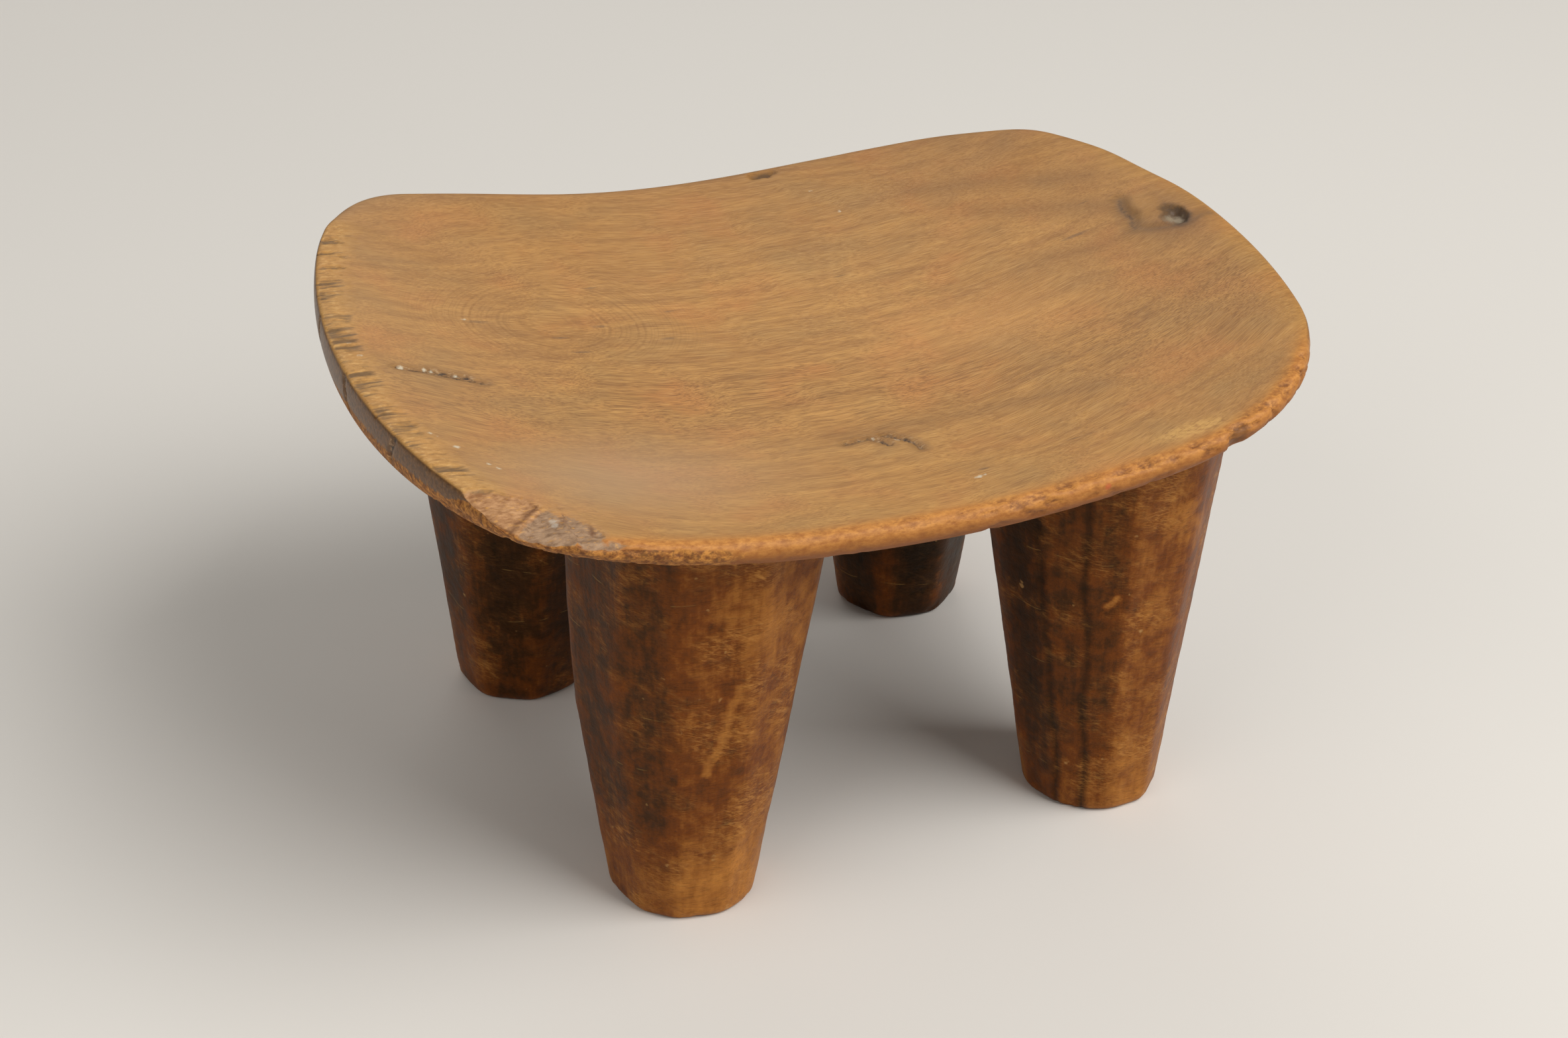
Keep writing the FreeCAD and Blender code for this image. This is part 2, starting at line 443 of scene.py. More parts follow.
pale = np.zeros(len(seat_points))
for patch, start, way, tone in breaks:
    way = np.array(way) / np.linalg.norm(way)
    within = ease(-.8, .8, inside(seat_points, patch) + .9 * rough) * above_arris
    depth = np.maximum((worn_points - start) @ way + .7 * rough, 0) * within
    worn_points -= depth[:, None] * way
    pale += (tone - pale) * ease(.05, .4, depth)
    broken = np.maximum(broken, np.minimum(depth, 3))
# Painted shadow: dark lines under the small overhangs between the breaks.
overhangs = [
    [(-92.6, -74.5), (-97.5, -78.7), (-102.9, -83.9), (-107.2, -88.3)],
    [(-89.5, -73.5), (-90.8, -78.9), (-92.2, -84.5)],
    [(-85.8, -85.5), (-87.2, -90.9)],
]
marks["overhang"] = np.min([from_line(seat_points, line) for line in overhangs], 0).clip(0, 6)
marks["broken"] = broken
white_spot = ease(1.3, .5, np.hypot((x + 94.3) / 1.4, (y + 84) / 2.6)) * ease(.1, .5, broken)
marks["pale"] = np.maximum(pale, white_spot)
# Below the breaks the arris is crumbled, and more of it towards the front.
crumbled_from = .65 - .5 * ease(-58, -74, y)
crumbled = ease(0, .2, drop - crumbled_from) * (1 - ease(.96, 1, drop))
crumbled = crumbled * ease(-50, -58, y) * ease(-40, -72, x)
hollow += .6 * crumbled * ease(-.1, .5, lumps(seat_points, 2.6, 5.5))
marks["arris"] = np.maximum(marks["arris"], crumbled)
print("Deepest break, mm:", round(float(np.linalg.norm(worn_points - seat_points, axis=1).max()), 2))

# %% [markdown]
# The front rim is side grain, so where it was knocked it tore into fibres along the seat. It is smooth
# to the left and gets rougher to the right, with one chip, one rubbed gold patch and a speck of red.

# %% Torn front rim
front = np.where(x < 0, ease(0, .25, -out_way[:, 1]) * (1 - left_end), ease(.35, .7, -out_way[:, 1]))
rim_zone = ease(8, 3.5, depth_in) * ease(-.02, .05, drop) * (1 - ease(.97, 1, drop))
rougher = .25 + .75 * ease(-25, 40, x)
fibre_gaps = lumps(seat_points, np.array([6, 2.2, 1.8]), 2.2)
fibre_gaps += .6 * lumps(seat_points, np.array([3, 1.5, 1.3]), 4.2)
torn_away = front * rim_zone * ease(-.1, .6, fibre_gaps) * rougher
chip = np.hypot((x - 77) / 4, (y + 97) / 5)
hollow += .75 * torn_away + .9 * ease(1.1, .5, chip) * rim_zone
marks["front"] = front * rim_zone
marks["torn"] = torn_away
marks["chip"] = np.minimum(chip, 4)
marks["gold"] = ease(1.3, .3, np.hypot((x - 67) / 11, (y + 88.5) / 4)) * front * (1 - ease(.5, .8, drop))
marks["red"] = np.minimum(np.hypot(x - 39.6, z - 123.5) + out_of_reach * (1 - front * rim_zone), 8)
print("Deepest tear, mm:", round(float(.75 * torn_away.max()), 2))

# %% [markdown]
# More marks have no shape. The front left of the dish is polished smooth, and there and, less, over its
# whole left end a greyish, lighter coat is painted sheen. Long lines gather in front of the middle, darker
# streaks run through the wood around the knot, the rear is a little darker and a patch to the right is
# warmer.

# %% Painted sheen and streaks
dark_streaks = [
    [(58, 68), (77, 60), (90, 52), (103, 44)],
    [(70, 48), (84, 40), (97, 32), (104, 22)],
    [(78, 14), (90, 11), (99, 11), (103, 8), (109, 4.5), (114, 4)],
    [(-12, -47), (0, -47.5), (14, -48), (42, -50), (62, -53)],
]
marks["lines"] = np.exp(-((y + 24 + .06 * x) / 24) ** 2)
# Painted sheen: greyish and lighter at the front left, weaker over the whole left end.
marks["polish"] = np.exp(-((x + 72) / 36) ** 2 - ((y + 60) / 22) ** 2)
marks["polish"] = np.maximum(marks["polish"], .3 * ease(-55, -105, x))
marks["streak"] = np.min([from_line(seat_points, line) for line in dark_streaks], 0).clip(0, 12)
marks["rear"] = .55 * ease(10, 110, x) + .8 * ease(20, 95, y)
marks["warm"] = np.exp(-((x - 50) / 28) ** 2 - ((y + 8) / 16) ** 2)

# %% Carve the seat
under = np.concatenate([np.zeros(first_under), np.ones(len(under_plan))])
hollow += (.25 * lumps(seat_points, 42) + .1 * lumps(seat_points, np.array([16, 9, 9]), 5)) * on_top
hollow += under * .6 * abs(lumps(seat_points, np.array([22, 11, 11]), 9))
settle(seat, worn_points - facing(seat) * hollow[:, None], marks)
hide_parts("seat")
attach(seat, "root")
print("Deepest cut in the seat, mm:", round(float(hollow.max()), 2))

# %% [markdown]
# ## Legs
# Each leg is a stout cone that the carver squared off with an adze, leaving upright facets. A cross
# section is the nearest of several flat cuts, with the ridges between them rubbed soft, and a round
# limit for ridges that would come out sharp. The cuts wander a little with height, as hand work does.

# %% Cuts round each leg
# For each cut: the way it faces in degrees, its share of the leg's radius, and how far its patina is worn; on
# the rear legs low and negative values stand for painted shade.
# A few cuts turn nearly upright at a height. For each rub: a line of turns in degrees and heights, its
# width and how much more is worn there.
legs = {
    "leg_front_left": {
        "foot": (-52.8, -56.2), "lean": (3.4, 3.4), "foot_radius": 19.0, "growth": .147,
        "soft": .9, "rounder": .35, "foot_wear": .55, "creases": [],
        "rubs": [([(-87, 77), (-91, 68), (-92, 61), (-101, 50)], 1.3, .6), ([(-86, 100), (-58, 88)], 8, .35),
                 ([(-105, 13), (-70, 20)], 6, .3)],
        "upright_from": {-166: 75, 158: 58},
        "cuts": [(-166, 1.0, .08), (-130, 1.02, .1), (-97, .99, .45), (-62, 1.0, .57), (-28, .955, .54),
                 (20, .96, .45), (75, 1.0, .4), (125, 1.03, .2), (158, 1.08, .05)]},
    "leg_front_right": {
        "foot": (66.4, -51.9), "lean": (-2.9, 3.4), "foot_radius": 18.2, "growth": .128,
        "soft": .45, "rounder": .1, "foot_wear": .35, "creases": [-146.5, -122],
        "rubs": [([(-111, 71), (-108, 72), (-105, 74)], 1.1, 1.0), ([(-72, 98), (-58, 90)], 5, .3)],
        "upright_from": {},
        "cuts": [(-160, .965, -.2), (-133, .955, .16), (-113, .962, .14), (-86, .965, .6), (-42, .97, .42),
                 (5, .97, .42), (50, .965, .4), (95, .97, .3), (145, .965, .1)]},
    # Painted shade: the rear legs' low and negative patina values darken them as the shade under the seat
    # would.
    "leg_rear_left": {
        "foot": (-65.5, 51.0), "lean": (3.4, -3.4), "foot_radius": 18.25, "growth": .136,
        "soft": .9, "rounder": .3, "foot_wear": .35, "creases": [], "rubs": [],
        "upright_from": {},
        "cuts": [(-170, .97, -.2), (-118, .97, -.45), (-72, .975, -.45), (-25, .97, -.4), (30, .97, .1),
                 (85, .97, .4), (140, .97, .4)]},
    "leg_rear_right": {
        "foot": (53.6, 54.4), "lean": (-3.4, -3.4), "foot_radius": 18.25, "growth": .145,
        "soft": .9, "rounder": .3, "foot_wear": .35, "creases": [], "rubs": [],
        "upright_from": {},
        "cuts": [(-150, .975, -1.1), (-95, .97, -1.1), (-48, .93, -.7), (0, .93, -.1), (48, .97, .3),
                 (100, .97, .5), (155, .97, .1)]},
}
round_limit = 1.05
ridge_wear = .22
past_the_top = 120
upright_share = .65
lean_height = 112


def leg_radius(leg, angle, z):
    """Distance from a leg's axis to its hewn surface, and how worn the surface is there, with painted shade
    on the rear legs.
    """
    size = leg["foot_radius"] + leg["growth"] * z
    soft = leg["soft"]
    rounder = leg["rounder"] * ease(10, 85, z)
    widest = max(share for _, share, _ in leg["cuts"])
    pulls = [np.exp(-round_limit * widest * size / soft)]
    tones = [np.full(len(z), .3)]
    for number, (cut, share, tone) in enumerate(leg["cuts"]):
        drift = .5 * lumps(np.stack([z * 0, z * 0 + number * 7.3, z], 1), 38, leg["foot"][0])
        slant = np.maximum(np.cos(angle - math.radians(cut)), .05)
        past = np.maximum(z - leg["upright_from"].get(cut, past_the_top), 0)
        reach = (share + rounder * (1 - share)) * (size - upright_share * leg["growth"] * past) + drift
        pulls.append(np.exp(-reach / slant / soft))
        tones.append(np.full(len(z), tone))
    total = np.sum(pulls, 0)
    weight = np.array(pulls) / total
    on_ridge = 1 - (weight**2).sum(0)
    return -soft * np.log(total), (weight * tones).sum(0) + ridge_wear * on_ridge


def leg_place(leg, angle, z, radius):
    """Point on a leg, whose axis leans in towards the seat's middle as it rises."""
    axis = np.array(leg["foot"]) + np.outer(z / lean_height, leg["lean"])
    return np.stack([axis[:, 0] + radius * np.cos(angle), axis[:, 1] + radius * np.sin(angle), z], 1)


# %% [markdown]
# A leg's skin is rows of points from the sole to the belly of the seat. The rows crowd together at
# the foot, where the edge is rounded and chipped, and the top flares a little into the seat. Shallow
# scallops from the adze and raised fibres are pushed into the surface.

# %% Shape one leg
round_steps = 220
foot_rows = [0, .12, .35, .7, 1.2, 1.9, 2.8, 4, 5.5]
side_rows = 120
cap_shares = (.94, .7, .35, 0)
seat_overlap = 3.0
top_guess = 110.0
foot_round_in = 1.7
foot_round_up = 2.6
flare_out = 1.3
flare_down = 2.2


def leg_heights(leg, turns):
    """Height of every row at every turn, from the floor to just inside the belly."""
    top = np.full(len(turns), top_guess)
    for _ in range(8):
        top = bowl(leg_place(leg, turns, top, leg_radius(leg, turns, top)[0]), *belly)
    climb = np.linspace(0, 1, side_rows + 1)[1:, None]
    foot = np.repeat(np.array(foot_rows)[:, None], len(turns), 1)
    return np.concatenate([foot, foot_rows[-1] + climb * (top + seat_overlap - foot_rows[-1])]), top


def crease_distance(leg, angle, skin, radius):
    """Distance round a leg to its nearest crease, which the material darkens as painted shade."""
    nearest = np.full(len(skin), 8.0)
    for line in leg["creases"]:
        bend = .08 * lumps(skin, np.array([400, 400, 24]), line) + .025 * lumps(skin, 6.0, line)
        nearest = np.minimum(nearest, abs(angle - math.radians(line) + bend) * radius)
    return nearest


# Length of one degree round a leg, about halfway up.
mm_per_degree = .47


def rubbed_bare(leg, angle, skin):
    """Extra wear along the ragged rubs of a leg, measured on its skin laid flat."""
    flat = np.stack([np.degrees(angle) * mm_per_degree, skin[:, 2]], 1)
    ragged = .9 * lumps(skin, np.array([2.2, 2.2, 3.6]), 2.9)
    extra = np.zeros(len(skin))
    for line, width, amount in leg["rubs"]:
        path = [(turn * mm_per_degree, rise) for turn, rise in line]
        away = from_line(flat, path) / width + ragged
        extra = np.maximum(extra, amount * ease(1.5, .2, away))
    return extra


# %% Make the four legs
def make_leg(name, leg):
    """Leg skin from a flat sole to the belly of the seat."""
    turns = np.linspace(-math.pi, math.pi, round_steps, endpoint=False)
    heights, top = leg_heights(leg, turns)
    rows = len(heights)
    z = heights.ravel()
    angle = np.tile(turns, rows)
    radius, wear_and_shade = leg_radius(leg, angle, z)
    skin = leg_place(leg, angle, z, radius)
    wear_and_shade += rubbed_bare(leg, angle, skin)
    crease = crease_distance(leg, angle, skin, radius)
    scallops = abs(lumps(skin, np.array([9, 9, 19]), 4.4))
    fibres = lumps(skin, np.array([9, 2.2, 1.6]), 6.1)
    foot_round = foot_round_in * (1 - np.sqrt(1 - np.clip(1 - z / foot_round_up, 0, 1) ** 2))
    foot_chips = ease(.15, .5, lumps(skin, 4.5, 8.8)) * ease(6, 0, z)
    flare = flare_out * np.exp(np.minimum(z - np.tile(top, rows), 0) / flare_down)
    radius += flare - .35 * scallops - .07 * fibres - foot_round - .5 * foot_chips
    radius -= .3 * ease(1.2, .1, crease)
    skin = leg_place(leg, angle, z, radius)
    sole, crown = skin[:round_steps], skin[-round_steps:]
    below = [sole.mean(0) + (sole - sole.mean(0)) * share for share in cap_shares]
    above = [crown.mean(0) + (crown - crown.mean(0)) * share for share in cap_shares]
    for ring in above:
        ring[:, 2] = bowl(ring, *belly) + seat_overlap
    points = np.concatenate(below[::-1] + [skin] + above)
    numbers = np.arange(len(points)).reshape(-1, round_steps)
    faces = grid_faces(np.concatenate([numbers, numbers[:, :1]], 1), False)
    piece = make_piece(name + "_skin", points, faces)
    cap = len(cap_shares) * round_steps
    wear_and_shade = np.concatenate([np.full(cap, .5), wear_and_shade, np.full(cap, .1)])
    wear_and_shade += leg["foot_wear"] * ease(40, 2, points[:, 2])
    crease = np.concatenate([np.full(cap, 8.0), crease, np.full(cap, 8.0)])
    settle(piece, points, {"wear_and_shade": wear_and_shade, "crease": crease})
    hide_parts(name)
    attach(piece, "root")
    return piece


leg_pieces = [make_leg(name, leg) for name, leg in legs.items()]

# %% [markdown]
# ## Wood
# A material is a small network of nodes. Colours are written as a colour picker shows them, so one
# function turns them into the linear values that light is added up in. Another adds a node, with its
# settings and what feeds it, and every node below is made with it.

# %% Node tools
def hexa(code):
    """Linear colour from a code such as #B98958."""
    parts = [int(code[i:i + 2], 16) / 255 for i in (1, 3, 5)]
    return [p / 12.92 if p <= .04045 else ((p + .055) / 1.055) ** 2.4 for p in parts] + [1.0]


def add(tree, kind, *feeds, named=(), **settings):
    """Adds a node with its settings, and feeds its open inputs in order and others by name."""
    node = tree.nodes.new("ShaderNode" + kind)
    for name, value in settings.items():
        setattr(node, name, value)
    pairs = list(zip([s for s in node.inputs if s.enabled], feeds))
    pairs += [(node.inputs[name], feed) for name, feed in dict(named).items()]
    for place, feed in pairs:
        if isinstance(feed, bpy.types.Node):
            feed = next(s for s in feed.outputs if s.enabled)
        if isinstance(feed, bpy.types.NodeSocket):
            tree.links.new(feed, place)
        else:
            place.default_value = feed
    return node


lay = {"data_type": "RGBA"}
times = {"operation": "MULTIPLY"}
times_plus = {"operation": "MULTIPLY_ADD"}

# %% [markdown]
# Seat and legs come from one block, so they share one figure. The vessels of the wood are dashes along
# the seat. They are drawn in all three directions, so that they come out long where the dish runs with
# the grain and short where it cuts across it, near the ends. Broad streaks lie under them. Both bend in
# towards the ends, as the layers of growth do. Real vessels are about a quarter of a millimetre wide, and
# these are drawn a little coarser so that they show.

# %% Figure of the block
dash_length = 6
dash_width = .36
streak_length = 70
streak_width = 3.6
layers_middle = (-20.0, 27.0, 0)
closing_in = 2e-5


def figure(tree):
    """Place in millimetres, the wander of the grain, its own axes, dashes and broad streaks."""
    metres = add(tree, "TexCoord").outputs["Object"]
    place = add(tree, "VectorMath", metres, (1 / mm, 1 / mm, 1 / mm), **times)
    wander = add(tree, "TexNoise", place, 1 / 45, 2.0)
    sway = add(tree, "Math", wander, 14.0, **times)
    from_middle = add(tree, "VectorMath", place, layers_middle, operation="SUBTRACT")
    along, across, height = add(tree, "SeparateXYZ", from_middle).outputs
    closer = add(tree, "Math", add(tree, "Math", along, along, **times), closing_in, 1.0, **times_plus)
    bent = add(tree, "Math", across, closer, sway, **times_plus)
    grain = add(tree, "CombineXYZ", along, bent, add(tree, "Math", height, sway, operation="ADD"))
    dash_size = (1 / dash_length, 1 / dash_width, 1 / dash_width)
    dashes = add(tree, "TexNoise", add(tree, "VectorMath", grain, dash_size, **times), 1.0, 2.0, .6)
    streak_size = (1 / streak_length, 1 / streak_width, 1 / streak_width)
    streaks = add(tree, "TexNoise", add(tree, "VectorMath", grain, streak_size, **times), 1.0, 3.0, .55)
    return place, wander, grain, dashes, streaks


# %% [markdown]
# The seat is iroko worn to a satin by sitting. Skin and cloth polish the dish to a low, warm sheen,
# the lips of the ends are rubbed to a brighter ochre, and the bands below them keep a dark, glossy
# film of handling. The colour is laid on in coats, each over the last by a share.

# %% Iroko worn to satin: the dish
seat_wood = bpy.data.materials.new("iroko_worn_to_satin")
seat_wood.use_nodes = True
tree = seat_wood.node_tree
tree.nodes.clear()
place, wander, grain, dashes, streaks = figure(tree)
mark = {name: add(tree, "Attribute", attribute_name=name).outputs["Fac"] for name in marks}
mottle = add(tree, "TexNoise", place, 1 / 22, 3.0)
cloud_size = (1 / 9, 1 / 3.5, 1 / 3.5)
clouds = add(tree, "TexNoise", add(tree, "VectorMath", grain, cloud_size, **times), 1.0, 3.0, .6)

tone = add(tree, "Mix", add(tree, "MapRange", streaks, .27, .73), hexa("#C6914C"), hexa("#A4733A"), **lay)
tone = add(tree, "Mix", add(tree, "MapRange", mottle, .52, .68, 0.0, .4), tone, hexa("#C47B3C"), **lay)
tone = add(tree, "Mix", add(tree, "MapRange", mottle, .48, .32, 0.0, .35), tone, hexa("#9F7D4A"), **lay)
tone = add(tree, "Mix", add(tree, "MapRange", clouds, .5, .7, 0.0, .24), tone, hexa("#976738"), **lay)
dark_dash = add(tree, "MapRange", dashes, .5, .64)
dash_share = add(tree, "Math", dark_dash, add(tree, "MapRange", mark["lines"], 0.0, 1.0, .42, .62), **times)
tone = add(tree, "Mix", dash_share, tone, hexa("#7F552E"), **lay)
tone = add(tree, "Mix", add(tree, "MapRange", dashes, .44, .34, 0.0, .3), tone, hexa("#D7A55F"), **lay)
line_size = (1 / 38, 1 / .6, 1 / .6)
long_lines = add(tree, "TexNoise", add(tree, "VectorMath", grain, line_size, **times), 1.0, 2.0)
long_lines = add(tree, "Math", add(tree, "MapRange", long_lines, .53, .66), mark["lines"], **times)
tone = add(tree, "Mix", add(tree, "Math", long_lines, .5, **times), tone, hexa("#774F23"), **lay)
# Painted sheen: a greyish lighter coat over the polished front left and the left end.
tone = add(tree, "Mix", add(tree, "Math", mark["polish"], .6, **times), tone, hexa("#B59370"), **lay)
tone = add(tree, "Mix", add(tree, "Math", mark["warm"], .35, **times), tone, hexa("#D79A57"), **lay)
tone = add(tree, "Mix", add(tree, "Math", mark["rear"], .3, **times), tone, hexa("#835625"), **lay)
smear = add(tree, "Math", streaks, 14.0, mark["streak"], **times_plus)
smear = add(tree, "Math", clouds, 6.0, smear, **times_plus)
tone = add(tree, "Mix", add(tree, "MapRange", smear, 15, 7.5, 0.0, .45), tone, hexa("#704825"), **lay)
print("Dish coats on", seat_wood.name)

# %% [markdown]
# Where the hollow of the dish just touches a layer of growth, the layers show as rings round that
# point, wide apart in the middle and closer outwards. A noise along the square of the distance gives
# that spacing, and the clouds break the rings up.

# %% Iroko worn to satin: rings to the rear left
rings_middle = (-60.0, 27.4, 0)
rings_stretch = (1, 1.05, 0)
from_middle = add(tree, "VectorMath", place, rings_middle, operation="SUBTRACT")
from_middle = add(tree, "VectorMath", from_middle, rings_stretch, **times)
square = add(tree, "VectorMath", from_middle, from_middle, operation="DOT_PRODUCT").outputs["Value"]
layers = add(tree, "Math", wander, 6.0, add(tree, "Math", square, .022, **times), **times_plus)
layers = add(tree, "Math", clouds, .8, layers, **times_plus)
rings = add(tree, "TexNoise", layers, 1.0, 2.0, noise_dimensions="1D")
ring_share = add(tree, "MapRange", square, 150, 2000, .5, 0.0)
ring_share = add(tree, "Math", ring_share, add(tree, "MapRange", clouds, .35, .6, .4, 1.0), **times)
ring_share = add(tree, "Math", add(tree, "MapRange", rings, .46, .66), ring_share, **times)
tone = add(tree, "Mix", ring_share, tone, hexa("#885B2A"), **lay)

# %% [markdown]
# The ends come next. On the left lip each nick is dark with dirt, and the wood between is rubbed bright.
# The band under it is nearly black brown. Its lower arris is worn back to rust towards the front. The
# front rim has flakes of torn fibre, with painted shade on its lower part, and the gold patch, the chip and
# the speck of red.

# %% Iroko worn to satin: the ends
crumb_size = (1 / 2.0, 1 / 1.1, 1 / 1.1)
crumbs = add(tree, "TexNoise", add(tree, "VectorMath", place, crumb_size, **times), 1.0, 5.0, .65)
grit = add(tree, "TexNoise", place, 1 / 1.5, 4.0, .6)
ends = add(tree, "Math", mark["left"], mark["right"], operation="ADD")
lip_edge = add(tree, "Math", crumbs, 8.0, mark["inset"], **times_plus)
lip_share = add(tree, "Math", mark["right"], .3, mark["left"], **times_plus)
lip_share = add(tree, "Math", add(tree, "MapRange", lip_edge, 14.5, 9.5), lip_share, **times)
tone = add(tree, "Mix", add(tree, "Math", lip_share, .5, **times), tone, hexa("#C79144"), **lay)
rubbed = add(tree, "Math", add(tree, "MapRange", crumbs, .52, .66, 0.0, .6), lip_share, **times)
tone = add(tree, "Mix", rubbed, tone, hexa("#DEB06D"), **lay)
dents = add(tree, "Math", add(tree, "MapRange", crumbs, .46, .34, 0.0, .5), lip_share, **times)
tone = add(tree, "Mix", dents, tone, hexa("#886130"), **lay)
nick_size = (1 / 9, 1 / .9, 1 / 9)
nick_noise = add(tree, "TexNoise", add(tree, "VectorMath", place, nick_size, **times), 1.0, 3.0)
nick_edge = add(tree, "Math", nick_noise, 1.4, mark["nicks"], **times_plus)
tone = add(tree, "Mix", add(tree, "MapRange", nick_edge, .66, 1.1, 0.0, .8), tone, hexa("#5D4831"), **lay)

film_edge = add(tree, "Math", crumbs, .06, mark["roll"], **times_plus)
film = add(tree, "Math", add(tree, "MapRange", film_edge, .11, .16), ends, **times)
film_tone = add(tree, "Mix", add(tree, "MapRange", crumbs, .38, .64), hexa("#4D2F11"), hexa("#764C20"), **lay)
tone = add(tree, "Mix", add(tree, "Math", film, .94, **times), tone, film_tone, **lay)
hewn = add(tree, "MapRange", mark["roll"], .965, .995, 0.0, .9)
hewn_tone = add(tree, "Mix", add(tree, "MapRange", clouds, .35, .65), hexa("#301B0A"), hexa("#543416"), **lay)
tone = add(tree, "Mix", hewn, tone, hewn_tone, **lay)

# %% Iroko worn to satin: the front rim
flakes = add(tree, "Mix", add(tree, "MapRange", crumbs, .3, .68), hexa("#9E5A18"), hexa("#D48F3F"), **lay)
tone = add(tree, "Mix", add(tree, "Math", mark["front"], .85, **times), tone, flakes, **lay)
# Painted shade: the lower part of the front rim, which turns under, is darker.
rim_shade_below = add(tree, "Math", add(tree, "MapRange", mark["roll"], .25, .8, 0.0, .85), mark["front"], **times)
tone = add(tree, "Mix", rim_shade_below, tone, hexa("#85480E"), **lay)
gap = add(tree, "Math", add(tree, "MapRange", crumbs, .6, .4, .0, .8), mark["torn"], **times)
tone = add(tree, "Mix", gap, tone, hexa("#6B3C12"), **lay)
rust = add(tree, "Mix", add(tree, "MapRange", crumbs, .38, .64), hexa("#7C4511"), hexa("#CB893C"), **lay)
arris = add(tree, "Math", crumbs, 1.0, mark["arris"], **times_plus)
arris = add(tree, "MapRange", arris, .9, 1.15)
tone = add(tree, "Mix", arris, tone, rust, **lay)
pits = add(tree, "Math", add(tree, "MapRange", grit, .52, .38, 0.0, .75), arris, **times)
tone = add(tree, "Mix", pits, tone, hexa("#5D340F"), **lay)
gold = add(tree, "Math", mark["gold"], add(tree, "MapRange", crumbs, .36, .56, 0.0, .7), **times)
tone = add(tree, "Mix", gold, tone, hexa("#DCAA5D"), **lay)
chip_edge = add(tree, "Math", crumbs, 1.0, mark["chip"], **times_plus)
tone = add(tree, "Mix", add(tree, "MapRange", chip_edge, 1.5, 1.1, 0.0, .8), tone, hexa("#76491A"), **lay)
tone = add(tree, "Mix", add(tree, "MapRange", mark["red"], 1.1, .5, 0.0, .6), tone, hexa("#C55432"), **lay)

# %% [markdown]
# The broken corner shows wood that was never polished: ochre and pink where it is fresh, grey where
# dirt got in, almost white in one spot, and painted shadow in dark rust under the overhangs. The last coats
# are the small
# accidents: splits dark with dirt, the knot, slate flecks and specks of white filler.

# %% Iroko worn to satin: the broken corner
fibre_size = (1 / 2.6, 1 / 1.4, 1 / 1.4)
fibres = add(tree, "TexNoise", add(tree, "VectorMath", place, fibre_size, **times), 1.0, 4.0, .6)
bare = add(tree, "Mix", add(tree, "MapRange", fibres, .34, .66), hexa("#87511F"), hexa("#C48B45"), **lay)
fresh = add(tree, "Mix", add(tree, "MapRange", fibres, .34, .66), hexa("#93673F"), hexa("#C99C74"), **lay)
bare = add(tree, "Mix", add(tree, "MapRange", mark["pale"], .12, .3, 0.0, .65), bare, fresh, **lay)
dusty = add(tree, "Mix", add(tree, "MapRange", fibres, .34, .66), hexa("#775C43"), hexa("#AB8D70"), **lay)
bare = add(tree, "Mix", add(tree, "MapRange", mark["pale"], .4, .55, 0.0, .8), bare, dusty, **lay)
chalk = add(tree, "Math", grit, .8, mark["pale"], **times_plus)
bare = add(tree, "Mix", add(tree, "MapRange", chalk, 1.15, 1.45, 0.0, .5), bare, hexa("#CAC0AF"), **lay)
bare = add(tree, "Mix", add(tree, "MapRange", crumbs, .56, .68, 0.0, .7), bare, hexa("#D4994A"), **lay)
bare = add(tree, "Mix", add(tree, "MapRange", mark["roll"], .22, .42, 0.0, .9), bare, rust, **lay)
broken = add(tree, "Math", crumbs, 2.4, mark["broken"], **times_plus)
broken = add(tree, "MapRange", broken, 1.45, 1.9)
broken = add(tree, "Math", broken, add(tree, "MapRange", mark["broken"], .02, .2), **times)
tone = add(tree, "Mix", broken, tone, bare, **lay)
# Painted shadow: dark rust under the small overhangs of the breaks.
overhang_shade = add(tree, "Math", grit, 2.4, mark["overhang"], **times_plus)
overhang_shade = add(tree, "MapRange", overhang_shade, 2.5, 1.2, 0.0, .8)
overhang_shade = add(tree, "Math", overhang_shade, broken, **times)
tone = add(tree, "Mix", overhang_shade, tone, hexa("#653B19"), **lay)

# %% Iroko worn to satin: splits and knot
ragged = add(tree, "Math", grit, 2.6, mark["split"], **times_plus)
tone = add(tree, "Mix", add(tree, "MapRange", ragged, 4.6, 1.8, 0.0, .55), tone, hexa("#72502E"), **lay)
torn_bits = add(tree, "MapRange", crumbs, .54, .64, 0.0, .6)
torn_bits = add(tree, "Math", torn_bits, add(tree, "MapRange", ragged, 3.3, 2.3), **times)
tone = add(tree, "Mix", torn_bits, tone, hexa("#C09E74"), **lay)
tone = add(tree, "Mix", add(tree, "MapRange", ragged, 2.0, 1.3, 0.0, .9), tone, hexa("#34261D"), **lay)
swirl = add(tree, "Math", clouds, 4.0, mark["swirl"], **times_plus)
tone = add(tree, "Mix", add(tree, "MapRange", swirl, 7.5, 3.5, 0.0, .35), tone, hexa("#C9944D"), **lay)
tone = add(tree, "Mix", add(tree, "MapRange", mark["knot"], 16, 5, 0.0, .38), tone, hexa("#724C2E"), **lay)
crevice = add(tree, "Math", grit, 2.6, mark["crevice"], **times_plus)
tone = add(tree, "Mix", add(tree, "MapRange", crevice, 5.4, 1.8, 0.0, .52), tone, hexa("#614932"), **lay)
tone = add(tree, "Mix", add(tree, "MapRange", crevice, 2.0, 1.1, 0.0, .6), tone, hexa("#34271D"), **lay)
hole = add(tree, "Math", grit, 2.4, mark["knot"], **times_plus)
tone = add(tree, "Mix", add(tree, "MapRange", hole, 6.6, 4.2, 0.0, .85), tone, hexa("#3F3022"), **lay)
filler = add(tree, "Math", grit, 3.0, mark["filler"], **times_plus)
